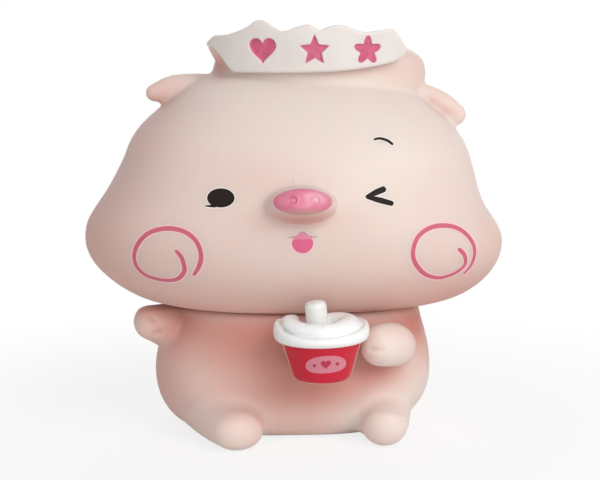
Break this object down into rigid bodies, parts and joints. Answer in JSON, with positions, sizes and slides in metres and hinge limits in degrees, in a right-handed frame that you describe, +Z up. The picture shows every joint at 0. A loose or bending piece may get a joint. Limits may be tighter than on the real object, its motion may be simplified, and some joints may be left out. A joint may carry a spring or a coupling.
{
  "type": "toy farm animal figure",
  "caption": "Sitting cartoon piglet figure in soft pink vinyl, with puffy cheeks, a head that turns on a neck plug, a wavy hat sign and a lidded cup with a straw.",
  "frame": {"origin": "middle of the figure's outline, on the floor it stands on", "axes": "+Z up, the figure faces -Y, and its own left side is +X"},
  "size_m": [0.087, 0.0648, 0.084],
  "materials": {
    "head_shell": "matt soft vinyl",
    "ear_right": "matt soft vinyl",
    "ear_left": "matt soft vinyl",
    "snout": "glossy pink paint on vinyl",
    "hat_crown": "matt soft vinyl",
    "hat_sign": "satin white paint on vinyl",
    "body_shell": "matt soft vinyl",
    "arm_raised": "matt soft vinyl",
    "arm_cup": "matt soft vinyl",
    "foot_right": "matt soft vinyl",
    "foot_left": "matt soft vinyl",
    "tail": "matt soft vinyl",
    "cup": "satin red paint on vinyl",
    "cup_lid": "glossy white paint on vinyl",
    "straw": "white paint on vinyl",
    "squeaker_housing": "plain moulded plastic",
    "squeaker_cap": "plain moulded plastic"
  },
  "bodies": {
    "torso": {"body_shell": "body_shell", "arm_raised": "arm_raised", "arm_cup": "arm_cup", "foot_right": "foot_right", "foot_left": "foot_left", "tail": "tail", "cup": "cup", "cup_lid": "cup_lid", "straw": "straw", "squeaker_housing": "squeaker_housing", "squeaker_cap": "squeaker_cap"},
    "head": {"head_shell": "head_shell", "ear_right": "ear_right", "ear_left": "ear_left", "snout": "snout", "hat_crown": "hat_crown", "hat_sign": "hat_sign"}
  },
  "joints": [
    {"name": "head_turn", "type": "hinge", "parent": "torso", "child": "head", "pos_m": [0, 0.00407, 0.0283], "axis": [0, 0, 1], "range_deg": [-14, 14]}
  ]
}
